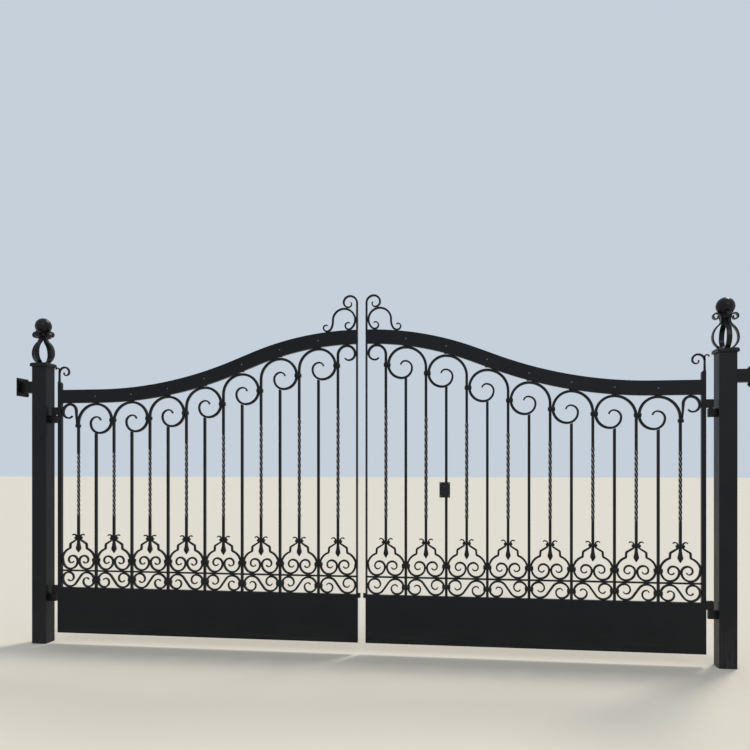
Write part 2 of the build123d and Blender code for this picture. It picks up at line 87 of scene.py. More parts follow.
def new_group(name, kind, inputs, outputs):
    """An empty node group with named inputs and outputs, and both their nodes' sockets."""
    tree = bpy.data.node_groups.new(name, kind)
    for way, sockets in (("INPUT", inputs), ("OUTPUT", outputs)):
        for label, socket_kind, *default in sockets:
            socket = tree.interface.new_socket(label, in_out=way, socket_type=socket_kind)
            if default:
                socket.default_value = default[0]
    given = tree.nodes.new("NodeGroupInput").outputs
    wanted = tree.nodes.new("NodeGroupOutput").inputs
    return tree, given, wanted


skin, given, wanted = new_group(
    "brushed paint",
    "ShaderNodeTree",
    [
        ("Paint", "NodeSocketColor"),
        ("Chalk", "NodeSocketColor"),
        ("Dust", "NodeSocketColor"),
        ("Roughness", "NodeSocketFloat"),
        ("Chalkiness", "NodeSocketFloat"),
        ("Dustiness", "NodeSocketFloat"),
        ("Dust reach", "NodeSocketFloat"),
        ("Dent size", "NodeSocketFloat"),
        ("Dents", "NodeSocketFloat"),
        ("Brush", "NodeSocketVector", (90.0, 90.0, 7.0)),
        ("Bare", "NodeSocketColor", (0.075, 0.062, 0.055, 1)),
        ("Edge", "NodeSocketFloat", 0.0015),
        ("Wear", "NodeSocketFloat", 0.5),
        ("Twist wear", "NodeSocketFloat"),
    ],
    [
        ("Color", "NodeSocketColor"),
        ("Roughness", "NodeSocketFloat"),
        ("Height", "NodeSocketFloat"),
        ("Normal", "NodeSocketVector"),
    ],
)
place = add(skin, "ShaderNodeTexCoord", {})["Object"]
height = add(skin, "ShaderNodeSeparateXYZ", {0: place})["Z"]
facing = add(skin, "ShaderNodeNewGeometry", {})["Normal"]
upward = add(skin, "ShaderNodeSeparateXYZ", {0: facing})["Z"]
clouds = noise(skin, place, scale=5.0, detail=6.0, roughness=0.6)
specks = noise(skin, place, scale=420.0, detail=3.0)
brush_place = add(skin, "ShaderNodeMapping", {"Vector": place, "Scale": given["Brush"]})[0]
brush = noise(skin, brush_place, scale=1.0, detail=4.0)
dents = noise(skin, place, scale=given["Dent size"], detail=2.0)
# Chalk lies in soft clouds, and faces that look up are made paler with the same colour as painted top light
cloud_depth = 0.5
painted_top_light = ranged(skin, upward, start=0.04, end=0.3)
in_clouds = ranged(skin, clouds, start=0.42, end=0.72)
chalk_and_top_light_mask = calculated(skin, "MULTIPLY_ADD", in_clouds, cloud_depth, painted_top_light, clamp=True)
chalk_and_top_light_share = calculated(skin, "MULTIPLY", chalk_and_top_light_mask, given["Chalkiness"])
chalked_and_top_lit = laid_over(skin, chalk_and_top_light_share, given["Paint"], given["Chalk"])
# Dust gathers near the foot and lies on ledges
low = ranged(skin, height, start=given["Dust reach"], end=0.02, high=0.8)
ledge = ranged(skin, upward, start=0.5, end=1.0, high=0.5)
gathered = calculated(skin, "ADD", low, ledge, clamp=True)
grit = ranged(skin, specks, start=0.35, end=0.75)
streaks = ranged(skin, brush, start=0.3, end=0.75)
patchy = calculated(skin, "MULTIPLY", streaks, grit)
dust_mask = calculated(skin, "MULTIPLY", gathered, patchy)
dust_share = calculated(skin, "MULTIPLY", dust_mask, given["Dustiness"])
dusted = laid_over(skin, dust_share, chalked_and_top_lit, given["Dust"])
# Sharp edges are a little rounded, and their paint is rubbed thin in places
rounded = add(skin, "ShaderNodeBevel", {"Radius": given["Edge"]}, samples=4)[0]
flatness = add(skin, "ShaderNodeVectorMath", {0: rounded, 1: facing}, operation="DOT_PRODUCT")["Value"]
at_edge = ranged(skin, flatness, start=0.995, end=0.93)
rubs = noise(skin, place, scale=34.0, detail=5.0, roughness=0.65)
rubbed = ranged(skin, rubs, start=0.47, end=0.66)
worn = calculated(skin, "MULTIPLY", at_edge, rubbed)
edge_share = calculated(skin, "MULTIPLY", worn, given["Wear"])
# A twisted bar gets painted glints: where its faces lean back and look up a little, beside each edge, the
# pale bare colour is laid on as painted highlight
leaning = ranged(skin, upward, start=0.07, end=0.2)
steep = ranged(skin, upward, start=0.45, end=0.36)
lean = calculated(skin, "MULTIPLY", leaning, steep)
twisted = add(skin, "ShaderNodeAttribute", {}, attribute_name="twisted")["Fac"]
painted_glint_mask = calculated(skin, "MULTIPLY", lean, twisted)
twist_share = calculated(skin, "MULTIPLY", painted_glint_mask, given["Twist wear"])
# The painted glint and the real worn edges share one pale colour
wear_and_glint_share = calculated(skin, "MAXIMUM", edge_share, twist_share)
colour = laid_over(skin, wear_and_glint_share, dusted, given["Bare"])
# Chalk and dust are duller than the paint, and the brush left it uneven
chalk_dulls, dust_dulls = 0.35, 0.6
dull = calculated(skin, "MULTIPLY_ADD", chalk_and_top_light_share, chalk_dulls, given["Roughness"])
duller = calculated(skin, "MULTIPLY_ADD", dust_share, dust_dulls, dull)
uneven = ranged(skin, brush, start=0.3, end=0.7, low=-0.05, high=0.07)
roughness = calculated(skin, "ADD", duller, uneven, clamp=True)
brush_depth = 0.35
marks = calculated(skin, "MULTIPLY_ADD", brush, brush_depth, specks)
relief = calculated(skin, "MULTIPLY_ADD", dents, given["Dents"], marks)
for name, source in (("Color", colour), ("Roughness", roughness), ("Height", relief), ("Normal", rounded)):
    skin.links.new(source, wanted[name])


def paint(name, bump, **values):
    """Black paint with brush marks, chalk and dust, with painted top light on upward faces and painted
    glints on twisted bars, from the brushed paint group.
    """
    material = bpy.data.materials.new(name)
    material.use_nodes = True
    tree = material.node_tree
    shader = tree.nodes["Principled BSDF"]
    group = tree.nodes.new("ShaderNodeGroup")
    group.node_tree = skin
    for label, value in values.items():
        group.inputs[label.replace("_", " ").capitalize()].default_value = value
    shader.inputs["Specular IOR Level"].default_value = 0.2
    relief = {"Height": group.outputs["Height"], "Normal": group.outputs["Normal"]}
    bumped = add(tree, "ShaderNodeBump", {"Strength": 0.5, "Distance": bump, **relief})[0]
    tree.links.new(group.outputs["Color"], shader.inputs["Base Color"])
    tree.links.new(group.outputs["Roughness"], shader.inputs["Roughness"])
    tree.links.new(bumped, shader.inputs["Normal"])
    return material


def dress(material, *nodes):
    """Gives a material to whole CAD pieces by their slots."""
    for node in nodes:
        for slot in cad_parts[node].material_slots:
            slot.material = material


post_paint = paint(
    "satin black on the posts",
    0.0006,
    paint=(0.0052, 0.0058, 0.0072, 1),
    chalk=(0.026, 0.027, 0.031, 1),
    dust=(0.24, 0.21, 0.17, 1),
    roughness=0.4,
    chalkiness=0.3,
    dustiness=0.4,
    dust_reach=0.35,
    dent_size=9.0,
    dents=0.8,
)
dress(post_paint, "left_post", "right_post", "left_post_cap", "right_post_cap")
dress(post_paint, "left_wall_bracket", "right_wall_bracket")

# Weld beads: where the cap and the side arm meet the post, the joint shows a low rippled bead
# under the paint. One short ripple is repeated along each joint.
post_low, post_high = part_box("left_post")
far_low, far_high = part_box("right_post")
post_x = ((post_low.x + post_high.x) / 2, (far_low.x + far_high.x) / 2)
half_post = (post_high.x - post_low.x) / 2
arm_low, arm_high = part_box("left_wall_bracket")
arm_level = (arm_low.z + arm_high.z) / 2
half_arm_deep = 0.025
half_arm_tall = 0.038
proud = 0.0005
cap_weld = 0.0032
arm_weld = 0.0035
square = ((-1, -1), (1, -1), (1, 1), (-1, 1))


def new_piece(name, mesh):
    """A new object in the scene."""
    obj = bpy.data.objects.new(name, mesh)
    bpy.context.scene.collection.objects.link(obj)
    return obj


def turned(profile, sides, closed=False):
    """Shape turned from (radius, height) pairs that end on the axis, or that close on themselves."""
    mesh = bmesh.new()
    rings = []
    for radius, level in profile:
        if radius == 0:
            rings.append([mesh.verts.new((0, 0, level))])
            continue
        ring = []
        for number in range(sides):
            turn = 2 * math.pi * number / sides
            ring.append(mesh.verts.new((radius * math.cos(turn), radius * math.sin(turn), level)))
        rings.append(ring)
    following = rings[1:] + rings[:1] if closed else rings[1:]
    for low, high in zip(rings, following):
        for number in range(sides):
            after = (number + 1) % sides
            corners = [low[number % len(low)], low[after % len(low)]]
            corners += [high[after % len(high)], high[number % len(high)]]
            mesh.faces.new(dict.fromkeys(corners))
    bmesh.ops.recalc_face_normals(mesh, faces=mesh.faces)
    for face in mesh.faces:
        face.smooth = True
    return mesh


def mesh_of(shape, name):
    """The mesh of a finished shape."""
    mesh = bpy.data.meshes.new(name)
    shape.to_mesh(mesh)
    shape.free()
    return mesh


def named(tree, label, kind="FLOAT"):
    """An attribute of the mesh, by its name."""
    return add(tree, "GeometryNodeInputNamedAttribute", {"Name": label}, data_type=kind)[0]


def painted_end(tree, geometry, given, wanted):
    """Ends a tree with real geometry in the material that the tree is given."""
    whole = add(tree, "GeometryNodeRealizeInstances", {"Geometry": geometry})[0]
    inputs = {"Geometry": whole, "Material": given["Material"]}
    painted = add(tree, "GeometryNodeSetMaterial", inputs)[0]
    tree.links.new(painted, wanted["Geometry"])


set_out, given, wanted = new_group(
    "set out on marks",
    "GeometryNodeTree",
    [
        ("Geometry", "NodeSocketGeometry"),
        ("Piece", "NodeSocketObject"),
        ("Material", "NodeSocketMaterial"),
    ],
    [("Geometry", "NodeSocketGeometry")],
)
piece = add(set_out, "GeometryNodeObjectInfo", {"Object": given["Piece"]})["Geometry"]
turn = named(set_out, "turn", "FLOAT_VECTOR")
size = named(set_out, "size", "FLOAT_VECTOR")
copies = add(
    set_out,
    "GeometryNodeInstanceOnPoints",
    {"Points": given["Geometry"], "Instance": piece, "Rotation": turn, "Scale": size},
)[0]
painted_end(set_out, copies, given, wanted)


def run_tree(obj, tree, inputs):
    """Runs a tree on an object with its inputs set, and leaves the result as a plain mesh."""
    modifier = obj.modifiers.new(tree.name, "NODES")
    modifier.node_group = tree
    for item in tree.interface.items_tree:
        if item.in_out == "INPUT" and item.name in inputs:
            modifier[item.identifier] = inputs[item.name]
    graph = bpy.context.evaluated_depsgraph_get()
    mesh = bpy.data.meshes.new_from_object(obj.evaluated_get(graph))
    mesh.name = obj.name
    obj.modifiers.clear()
    obj.data = mesh


def repeat(name, shape, marks, material):
    """Sets out copies of a shape at marks of (place, turn, size), as one plain mesh."""
    source = new_piece(name + "_source", mesh_of(shape, name + "_source"))
    points = bpy.data.meshes.new(name)
    points.from_pydata([place for place, _, _ in marks], [], [])
    for label, index in (("turn", 1), ("size", 2)):
        values = points.attributes.new(label, "FLOAT_VECTOR", "POINT").data
        for value, mark in zip(values, marks):
            value.vector = mark[index]
    obj = new_piece(name, points)
    run_tree(obj, set_out, {"Piece": source, "Material": material})
    bpy.data.objects.remove(source)
    return obj


def ripple():
    """One ripple of a weld of size 1, along its own X."""
    shape = turned([(0, -0.55), (0.6, -0.42), (0.95, -0.12), (0.95, 0.2), (0.55, 0.48), (0, 0.6)], 8)
    bmesh.ops.rotate(shape, verts=shape.verts, matrix=Matrix.Rotation(math.pi / 2, 3, "Y"))
    return shape


def weld_marks(start, end, thickness):
    """Marks of the ripples of a weld from one place to another."""
    ripple_step, ripple_length = 1.1 * thickness, 1.5 * thickness
    start, end = Vector(start), Vector(end)
    along = end - start
    count = max(round(along.length / ripple_step), 1)
    turn = along.to_track_quat("X", "Z").to_euler()
    size = (ripple_length, thickness, thickness)
    return [(start + along * (step + 0.5) / count, turn, size) for step in range(count)]


def weld_round(corners, thickness):
    """Marks of the ripples of a weld round an outline."""
    marks = []
    for start, end in zip(corners, corners[1:] + corners[:1]):
        marks += weld_marks(start, end, thickness)
    return marks


weld_paint = paint(
    "satin black on welds",
    0.0005,
    paint=(0.0052, 0.0057, 0.007, 1),
    chalk=(0.024, 0.025, 0.028, 1),
    dust=(0.28, 0.24, 0.2, 1),
    roughness=0.45,
    chalkiness=0.3,
    dustiness=0.4,
    dust_reach=0.4,
    dent_size=160.0,
    dents=1.2,
)
post_welds = []
for x, out in zip(post_x, (-1, 1)):
    beside, level = half_post + proud, post_high.z - proud
    round_post = [(x + across * beside, along * beside, level) for across, along in square]
    post_welds += weld_round(round_post, cap_weld)
    face = x + out * beside
    deep, tall = half_arm_deep + proud, half_arm_tall + proud
    round_arm = [(face, across * deep, arm_level + along * tall) for across, along in square]
    post_welds += weld_round(round_arm, arm_weld)
welds = repeat("post_welds", ripple(), post_welds, weld_paint)
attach(welds, "posts")

# Bolts: each end plate is held by four hexagon bolts on washers. They were painted over with the
# posts, and the paint has rubbed off their corners.
plate = 0.008
bolt_inset = 0.015
full_size = (1.0, 1.0, 1.0)
bolt_paint = paint(
    "rubbed black on the bolts",
    0.0003,
    paint=(0.006, 0.0062, 0.007, 1),
    chalk=(0.03, 0.029, 0.028, 1),
    dust=(0.2, 0.16, 0.13, 1),
    roughness=0.4,
    chalkiness=0.4,
    dustiness=0.3,
    dust_reach=0.4,
    dent_size=260.0,
    dents=0.8,
    bare=(0.16, 0.15, 0.145, 1),
    edge=0.0008,
    wear=0.8,
)


def bolt_head():
    """Hexagon head with a turned chamfer, on its washer, standing up along Z."""
    washer_profile = [(0, 0), (0.012, 0), (0.0125, 0.0006), (0.0125, 0.0016), (0.012, 0.0022), (0, 0.0022)]
    head_profile = [(0, 0.002), (0.0092, 0.002), (0.0092, 0.0084), (0.0078, 0.0096), (0, 0.0096)]
    shape = turned(washer_profile, 20)
    head = turned(head_profile, 6)
    for face in head.faces:
        face.smooth = False
    spare = mesh_of(head, "head")
    shape.from_mesh(spare)
    bpy.data.meshes.remove(spare)
    return shape


bolt_spread = arm_high.y - bolt_inset
bolt_marks = []
for x, out in zip(post_x, (-1, 1)):
    inner = x + out * (post_x[0] - arm_low.x - plate)
    turn = (0, -out * math.pi / 2, 0)
    for across, along in square:
        spot = (inner, across * bolt_spread, arm_level + along * bolt_spread)
        bolt_marks.append((spot, turn, full_size))
bolts = repeat("wall_bolts", bolt_head(), bolt_marks, bolt_paint)
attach(bolts, "posts")

# Finials: four flat straps, 30 x 8 mm, are bent like a bulb and curled out at the top, and carry
# a hollow ball of two pressed halves welded at its middle. All of it is painted black.
cap_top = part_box("left_post_cap")[1].z
strap = 0.008
strap_width = 0.030
strap_edge = 0.0015
strap_tip, strap_taper = 0.75, 0.05
foot_x, foot_height = 0.036, 0.0046
bulge, bulge_height = 0.072, 0.066
waist, waist_height = 0.0235, 0.168
outer_share = 0.7
curl_run = 0.0115
ball = 0.0532


def walk(x, z, heading, *moves):
    """Middle line of a bent bar: (0, length) goes straight on, (radius, angle) bends."""
    bend_step = 7.5
    points = [(x, z)]
    for radius, amount in moves:
        if radius == 0:
            count, turn, reach = 1, 0, amount
        else:
            count = max(math.ceil(abs(amount) / bend_step), 1)
            turn = amount / count
            reach = 2 * radius * math.sin(math.radians(abs(turn) / 2)) * count
        for _ in range(count):
            middle = math.radians(heading + turn / 2)
            x += reach / count * math.cos(middle)
            z += reach / count * math.sin(middle)
            points.append((x, z))
            heading += turn
    return points


def coiled(radii, tip_radius, tip_turn, way=1):
    """Quarter bends of the given radii and a last bend at the tip. Way is 1 for left, -1 for right."""
    return [(radius, way * 90) for radius in radii] + [(tip_radius, way * tip_turn)]


def drawn_out(points, tip, taper, both=False):
    """Adds width, depth and twist to a line's points, narrowing its end or both its ends."""
    gone = [0.0]
    for start, end in zip(points, points[1:]):
        gone.append(gone[-1] + math.dist(start, end))
    line = []
    for (x, z), walked in zip(points, gone):
        left = gone[-1] - walked
        if both:
            left = min(left, walked)
        wide = 1 - (1 - tip) * max(1 - left / taper, 0)
        line.append((x, z, wide, 1.0, 0.0))
    return line


strip_tree, given, wanted = new_group(
    "bar along its line",
    "GeometryNodeTree",
    [
        ("Geometry", "NodeSocketGeometry"),
        ("Thickness", "NodeSocketFloat"),
        ("Depth", "NodeSocketFloat"),
        ("Worn edge", "NodeSocketFloat"),
        ("Cuts", "NodeSocketInt"),
        ("Material", "NodeSocketMaterial"),
    ],
    [("Geometry", "NodeSocketGeometry")],
)
line = add(strip_tree, "GeometryNodeMeshToCurve", {"Mesh": given["Geometry"]})[0]
upright = add(strip_tree, "GeometryNodeSetCurveNormal", {"Curve": line, "Normal": (0, 1, 0)}, mode="FREE")[0]
turns = named(strip_tree, "twist")
twisted = add(strip_tree, "GeometryNodeSetCurveTilt", {"Curve": upright, "Tilt": turns})[0]
tangent = add(strip_tree, "GeometryNodeInputTangent", {})[0]
across = add(strip_tree, "ShaderNodeVectorMath", {0: tangent, 1: (0, 1, 0)}, operation="CROSS_PRODUCT")[0]
keep = strip_tree.nodes.new("GeometryNodeCaptureAttribute")
keep.capture_items.new("VECTOR", "across")
keep.capture_items.new("VECTOR", "centre")
strip_tree.links.new(twisted, keep.inputs["Geometry"])
strip_tree.links.new(across, keep.inputs["across"])
strip_tree.links.new(add(strip_tree, "GeometryNodeInputPosition", {})[0], keep.inputs["centre"])
section = add(
    strip_tree,
    "GeometryNodeCurvePrimitiveQuadrilateral",
    {"Width": given["Depth"], "Height": given["Thickness"]},
)[0]
corners = {"Curve": section, "Radius": given["Worn edge"]}
worn = add(strip_tree, "GeometryNodeFilletCurve", corners, mode="POLY")[0]
outline = add(strip_tree, "GeometryNodeSubdivideCurve", {"Curve": worn, "Cuts": given["Cuts"]})[0]
swept = add(
    strip_tree,
    "GeometryNodeCurveToMesh",
    {"Curve": keep.outputs["Geometry"], "Profile Curve": outline, "Fill Caps": True},
)[0]
# The swept bar is narrowed about its middle line, by its shares of full width and full depth
here = add(strip_tree, "GeometryNodeInputPosition", {})[0]
away = add(strip_tree, "ShaderNodeVectorMath", {0: here, 1: keep.outputs["centre"]}, operation="SUBTRACT")[0]
moved = []
for label, axis in (("wide", keep.outputs["across"]), ("deep", (0, 1, 0))):
    less = calculated(strip_tree, "SUBTRACT", named(strip_tree, label), 1.0)
    off = add(strip_tree, "ShaderNodeVectorMath", {0: away, 1: axis}, operation="DOT_PRODUCT")["Value"]
    step = calculated(strip_tree, "MULTIPLY", off, less)
    moved.append(add(strip_tree, "ShaderNodeVectorMath", {0: axis, "Scale": step}, operation="SCALE")[0])
offset = add(strip_tree, "ShaderNodeVectorMath", dict(enumerate(moved)), operation="ADD")[0]
shaped = add(strip_tree, "GeometryNodeSetPosition", {"Geometry": swept, "Offset": offset})[0]
# Faces are smooth along the bar, and its sharper edges stay crisp
smooth = {"Geometry": shaped, "Shade Smooth": True}
soft = add(strip_tree, "GeometryNodeSetShadeSmooth", smooth, domain="FACE")[0]
crisp_angle = 0.6
angles = {0: add(strip_tree, "GeometryNodeInputMeshEdgeAngle", {})[0], 1: crisp_angle}
sharp = add(strip_tree, "FunctionNodeCompare", angles, data_type="FLOAT", operation="GREATER_THAN")[0]
crisp = add(
    strip_tree,
    "GeometryNodeSetShadeSmooth",
    {"Geometry": soft, "Selection": sharp, "Shade Smooth": False},
    domain="EDGE",
)[0]
painted_end(strip_tree, crisp, given, wanted)


def forged(name, lines, thickness, depth, worn_edge, material, to_place=None, cuts=0):
    """Sweeps bars along lines of (x, z, width, depth, twist), as one plain mesh.

    Cuts divide each face lengthwise, and with them the mesh says where it is twisted.
    """
    mesh = bpy.data.meshes.new(name)
    places, edges, facts = [], [], []
    for line in lines:
        first = len(places)
        for x, z, *fact in line:
            places.append(to_place(x, z) if to_place else (x, 0, z))
            facts.append(fact)
        edges += [(number, number + 1) for number in range(first, len(places) - 1)]
    mesh.from_pydata(places, edges, [])
    columns = dict(zip(("wide", "deep", "twist"), zip(*facts)))
    if cuts:
        twists = columns["twist"]
        around = zip(twists[:1] + twists, twists[1:] + twists[-1:])
        columns["twisted"] = [float(before != after) for before, after in around]
    for label, values in columns.items():
        mesh.attributes.new(label, "FLOAT", "POINT").data.foreach_set("value", values)
    obj = new_piece(name, mesh)
    sizes = {"Thickness": thickness, "Depth": depth, "Worn edge": worn_edge, "Cuts": cuts}
    run_tree(obj, strip_tree, {**sizes, "Material": material})
    for label in ("wide", "deep", "twist"):
        spare = obj.data.attributes.get(label)
        if spare:
            obj.data.attributes.remove(spare)
    return obj


def resting_height(line, reach):
    """Height at which a ball's middle keeps a reach from every point of a line below it."""
    return max(z + math.sqrt(reach**2 - x**2) for x, z in line if x < reach)


finial_paint = paint(
    "gloss black on the finials",
    0.0005,
    paint=(0.005, 0.0056, 0.0072, 1),
    chalk=(0.024, 0.026, 0.031, 1),
    dust=(0.3, 0.27, 0.22, 1),
    roughness=0.26,
    chalkiness=0.22,
    dustiness=0.2,
    dust_reach=0.1,
    dent_size=14.0,
    dents=0.35,
)
foot_rise, neck_rise = bulge_height - foot_height, waist_height - bulge_height
foot_turn = 2 * math.degrees(math.atan((bulge - foot_x) / foot_rise))
foot_radius = foot_rise / math.sin(math.radians(foot_turn))
neck_turn = 2 * math.degrees(math.atan((bulge - waist) / neck_rise))
neck_radius = neck_rise / math.sin(math.radians(neck_turn))
strap_line = walk(
    foot_x,
    foot_height,
    90 - foot_turn,
    (foot_radius, foot_turn),
    (neck_radius * outer_share, neck_turn),
    (neck_radius * (1 - outer_share), -neck_turn),
    (0, curl_run),
    *coiled((0.028, 0.0175, 0.0165, 0.012), 0.008, 60, -1),
)
drawn_strap = drawn_out(strap_line, strap_tip, strap_taper)
one_strap = forged("strap", [drawn_strap], strap, strap_width, strap_edge, finial_paint)
strap_shape = bmesh.new()
strap_shape.from_mesh(one_strap.data)
bpy.data.objects.remove(one_strap)
strap_marks = []
for x in post_x:
    for quarter in range(4):
        strap_marks.append(((x, 0, cap_top), (0, 0, quarter * math.pi / 2), full_size))
straps = repeat("bulb_straps", strap_shape, strap_marks, finial_paint)
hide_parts("finial_straps")
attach(straps, "posts")

ball_rings, ball_sides = 36, 56
ball_gap = 0.0002
seam_height, seam_width = 0.0009, 0.8
ball_profile = [(0, -ball)]
for number in range(1, ball_rings):
    turn = math.pi * number / ball_rings
    seam = seam_height * math.exp(-(((number - ball_rings / 2) / seam_width) ** 2))
    ball_profile.append(((ball + seam) * math.sin(turn), -ball * math.cos(turn)))
ball_profile.append((0, ball))
ball_middle = cap_top + resting_height(strap_line, ball + strap / 2 + ball_gap)
unturned = (0.0, 0.0, 0.0)
ball_marks = [((x, 0, ball_middle), unturned, full_size) for x in post_x]
balls = repeat("hollow_balls", turned(ball_profile, ball_sides), ball_marks, finial_paint)
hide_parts("finial_balls")
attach(balls, "posts")

# Hinges: a bored block on the leaf turns on a 16 mm pin that stands in a block on the post, with
# a washer between them. The blocks are sawn from bar, welded on and painted.
hinge_paint = paint(
    "worn black on the hinges",
    0.0006,
    paint=(0.0055, 0.0058, 0.0068, 1),
    chalk=(0.036, 0.032, 0.03, 1),
    dust=(0.22, 0.16, 0.12, 1),
    roughness=0.4,
    chalkiness=0.3,
    dustiness=0.5,
    dust_reach=0.5,
    dent_size=70.0,
    dents=1.2,
)
dress(hinge_paint, "left_hinge_eyes", "right_hinge_eyes", "left_hinge_pins", "right_hinge_pins")
pin_offset = half_post + 0.030
pin_x = (post_x[0] + pin_offset, post_x[1] - pin_offset)
hinge_levels = (0.328, 1.511)
washer_marks = [((x, 0, level), unturned, full_size) for x in pin_x for level in hinge_levels]
washer_profile = [
    (0.0084, 0.0002),
    (0.0112, 0.0002),
    (0.0118, 0.0006),
    (0.0118, 0.0032),
    (0.0112, 0.0036),
    (0.0084, 0.0036),
]
washer = turned(washer_profile, 36, closed=True)
washers = repeat("hinge_washers", washer, washer_marks, bolt_paint)
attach(washers, "posts")

# Leaf frames: flat stiles and a deep box-section top rail bent to its sweep, with a lower rail and
# a bottom rail. They are welded, ground flush and painted semi-gloss black.
frame_paint = paint(
    "semi-gloss black on the frames",
    0.0005,
    paint=(0.0045, 0.0056, 0.0076, 1),
    chalk=(0.02, 0.024, 0.031, 1),
    dust=(0.28, 0.25, 0.21, 1),
    roughness=0.32,
    chalkiness=0.25,
    dustiness=0.35,
    dust_reach=0.45,
    dent_size=7.0,
    dents=0.8,
)
for side in ("left", "right"):
    for node in ("hinge_stile", "meeting_stile", "top_rail", "kick_frame", "stop_tab"):
        dress(frame_paint, f"{side}_{node}")

# Kick sheets: 2.5 mm steel sheets welded over the lower rails. They are slightly wavy from the
# weld's heat, and splashed with pale dust along the bottom edge.
sheet_paint = paint(
    "semi-gloss black on the sheets",
    0.0016,
    paint=(0.0048, 0.0056, 0.0068, 1),
    chalk=(0.017, 0.019, 0.022, 1),
    dust=(0.25, 0.22, 0.18, 1),
    roughness=0.36,
    chalkiness=0.3,
    dustiness=0.22,
    dust_reach=0.2,
    dent_size=2.6,
    dents=1.8,
    brush=(3.0, 60.0, 60.0),
)
dress(sheet_paint, "left_kick_sheet", "right_kick_sheet")

# Scroll-headed bars: square 16 mm bars, forged to a pointed bud at the foot, twisted along the
# lower part of the shank and coiled at the top into a head that is welded under the rail.
bay_count = 8
bay_width = 0.25
leaf_start = 0.027
ground_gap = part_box("left_meeting_stile")[0].z
bar = 0.016
half_bar = bar / 2
gap = 0.0003
panel_height = 0.301
half_space = 0.053
half_band = 0.005
band_height = panel_height + 2 * half_space + half_band
low_height = 1.610
rise = 0.347
rail_depth = 0.088
crown_radius = 1.890
straight_run = 0.136
level_run = 0.279
level_start = bay_count * bay_width - level_run
rail_angle = 2 * math.atan(rise / (level_start + straight_run))
radii_sum = (level_start - straight_run * math.cos(rail_angle)) / math.sin(rail_angle)
sweep_radius = radii_sum - crown_radius
crook_radius = 0.127
small_radius = 0.058
head_reach = bay_width - crook_radius - bar - gap
coil_radius = 0.040
tip_radius = 0.028
tip_share = 9 / 16
short_taper, long_taper = 0.12, 0.26
twist_foot = 0.775
twist_share = 0.675
twist_step, twist_step_change = 0.0395, 0.001
cuts_per_quarter = 7
end_collar_drop = 0.016
bar_edge = 0.0012
leaves = (("left", -1), ("right", 1))
bud_rings = (
    (0.1190, 0.12, 0.12),
    (0.1225, 0.40, 0.34),
    (0.1290, 0.85, 0.72),
    (0.1370, 1.40, 1.12),
    (0.1435, 1.78, 1.40),
    (0.1480, 1.86, 1.48),
    (0.1530, 1.80, 1.45),
    (0.1620, 1.52, 1.32),
    (0.1720, 1.28, 1.18),
    (0.1820, 1.10, 1.07),
    (0.1930, 1.0, 1.0),
)


def rail_level(x, drop=0.0):
    """Height of the line that lies drop square below the top rail's upper edge."""
    crown, sweep = crown_radius - drop, sweep_radius + drop
    crown_end = crown * math.sin(rail_angle)
    sweep_start = level_start - sweep * math.sin(rail_angle)
    if x < crown_end:
        return low_height + rise - crown_radius + math.sqrt(crown**2 - max(x, 0) ** 2)
    if x < sweep_start:
        return rail_level(sweep_start, drop) + (sweep_start - x) * math.tan(rail_angle)
    return low_height + sweep_radius - math.sqrt(sweep**2 - max(level_start - x, 0) ** 2)


def on_leaf(side):
    """Turns a place on a leaf's drawing into one on the gate."""
    middle = (post_x[0] + post_x[1]) / 2
    return lambda x, z, y=0.0: (middle + side * (leaf_start + x), y, z + ground_gap)


def bay_middle(bay):
    """Place of the scroll-headed bar of a bay. Bays count from 0 at the meeting side."""
    return (bay + 0.5) * bay_width


def head_radius(bay):
    """First radius of a bar's head, which is small in the bay beside the meeting stile."""
    return small_radius if bay == 0 else crook_radius


def head_start(bay):
    """Height where a bar starts to bend into its head."""
    radius = head_radius(bay)
    return rail_level(bay_middle(bay) - radius, rail_depth + radius + half_bar + gap)


def shank(bay):
    """Bud, plain foot and twisted part of a bar, and the twist at its top."""
    x = bay_middle(bay)
    line = [(x, band_height + level, wide, deep, 0.0) for level, wide, deep in bud_rings]
    length = twist_share * (head_start(bay) - twist_foot)
    quarters = round(length / (twist_step - twist_step_change * bay))
    twist = -quarters * math.pi / 2
    steps = quarters * cuts_per_quarter
    for number in range(steps + 1):
        share = number / steps
        line.append((x, twist_foot + length * share, 1.0, 1.0, twist * share))
    return line, twist


def headed_bar(bay):
    """Whole line of a bar. Its twist stays the same all over the head."""
    x = bay_middle(bay)
    line, twist = shank(bay)
    if bay == 0:
        bends = coiled((small_radius, x - small_radius - bar - gap, coil_radius), tip_radius, 60)
        taper = short_taper
    else:
        bends = coiled((crook_radius, head_reach, 0.084, 0.063, 0.043), tip_radius, 80)
        taper = long_taper
    head = drawn_out(walk(x, head_start(bay), 90, *bends), tip_share, taper)
    return line + [(x, z, wide, deep, twist) for x, z, wide, deep, _ in head]


end_collar = head_start(bay_count - 1) - end_collar_drop


def end_scroll():
    """Small scroll from the last headed bar to the stile, scarfed thin where it leaves the bar."""
    scarf_steps, thin, below_collar = 12, 0.25, 0.012
    side = bay_middle(bay_count - 1) + half_bar + gap
    x = side + half_bar
    first = small_radius - bar
    second = bay_count * bay_width - bar - gap - x - first
    foot = end_collar - below_collar
    bend_level = rail_level(x + first, rail_depth + first + half_bar + gap)
    bends = coiled((first, second, coil_radius), tip_radius, 60, -1)
    scarf = []
    for number in range(scarf_steps):
        share = number / scarf_steps
        wide = thin + (1 - thin) * share
        scarf.append((side + wide * half_bar, foot + (bend_level - foot) * share, wide, 1.0, 0.0))
    return scarf + drawn_out(walk(x, bend_level, 90, *bends), tip_share, short_taper)
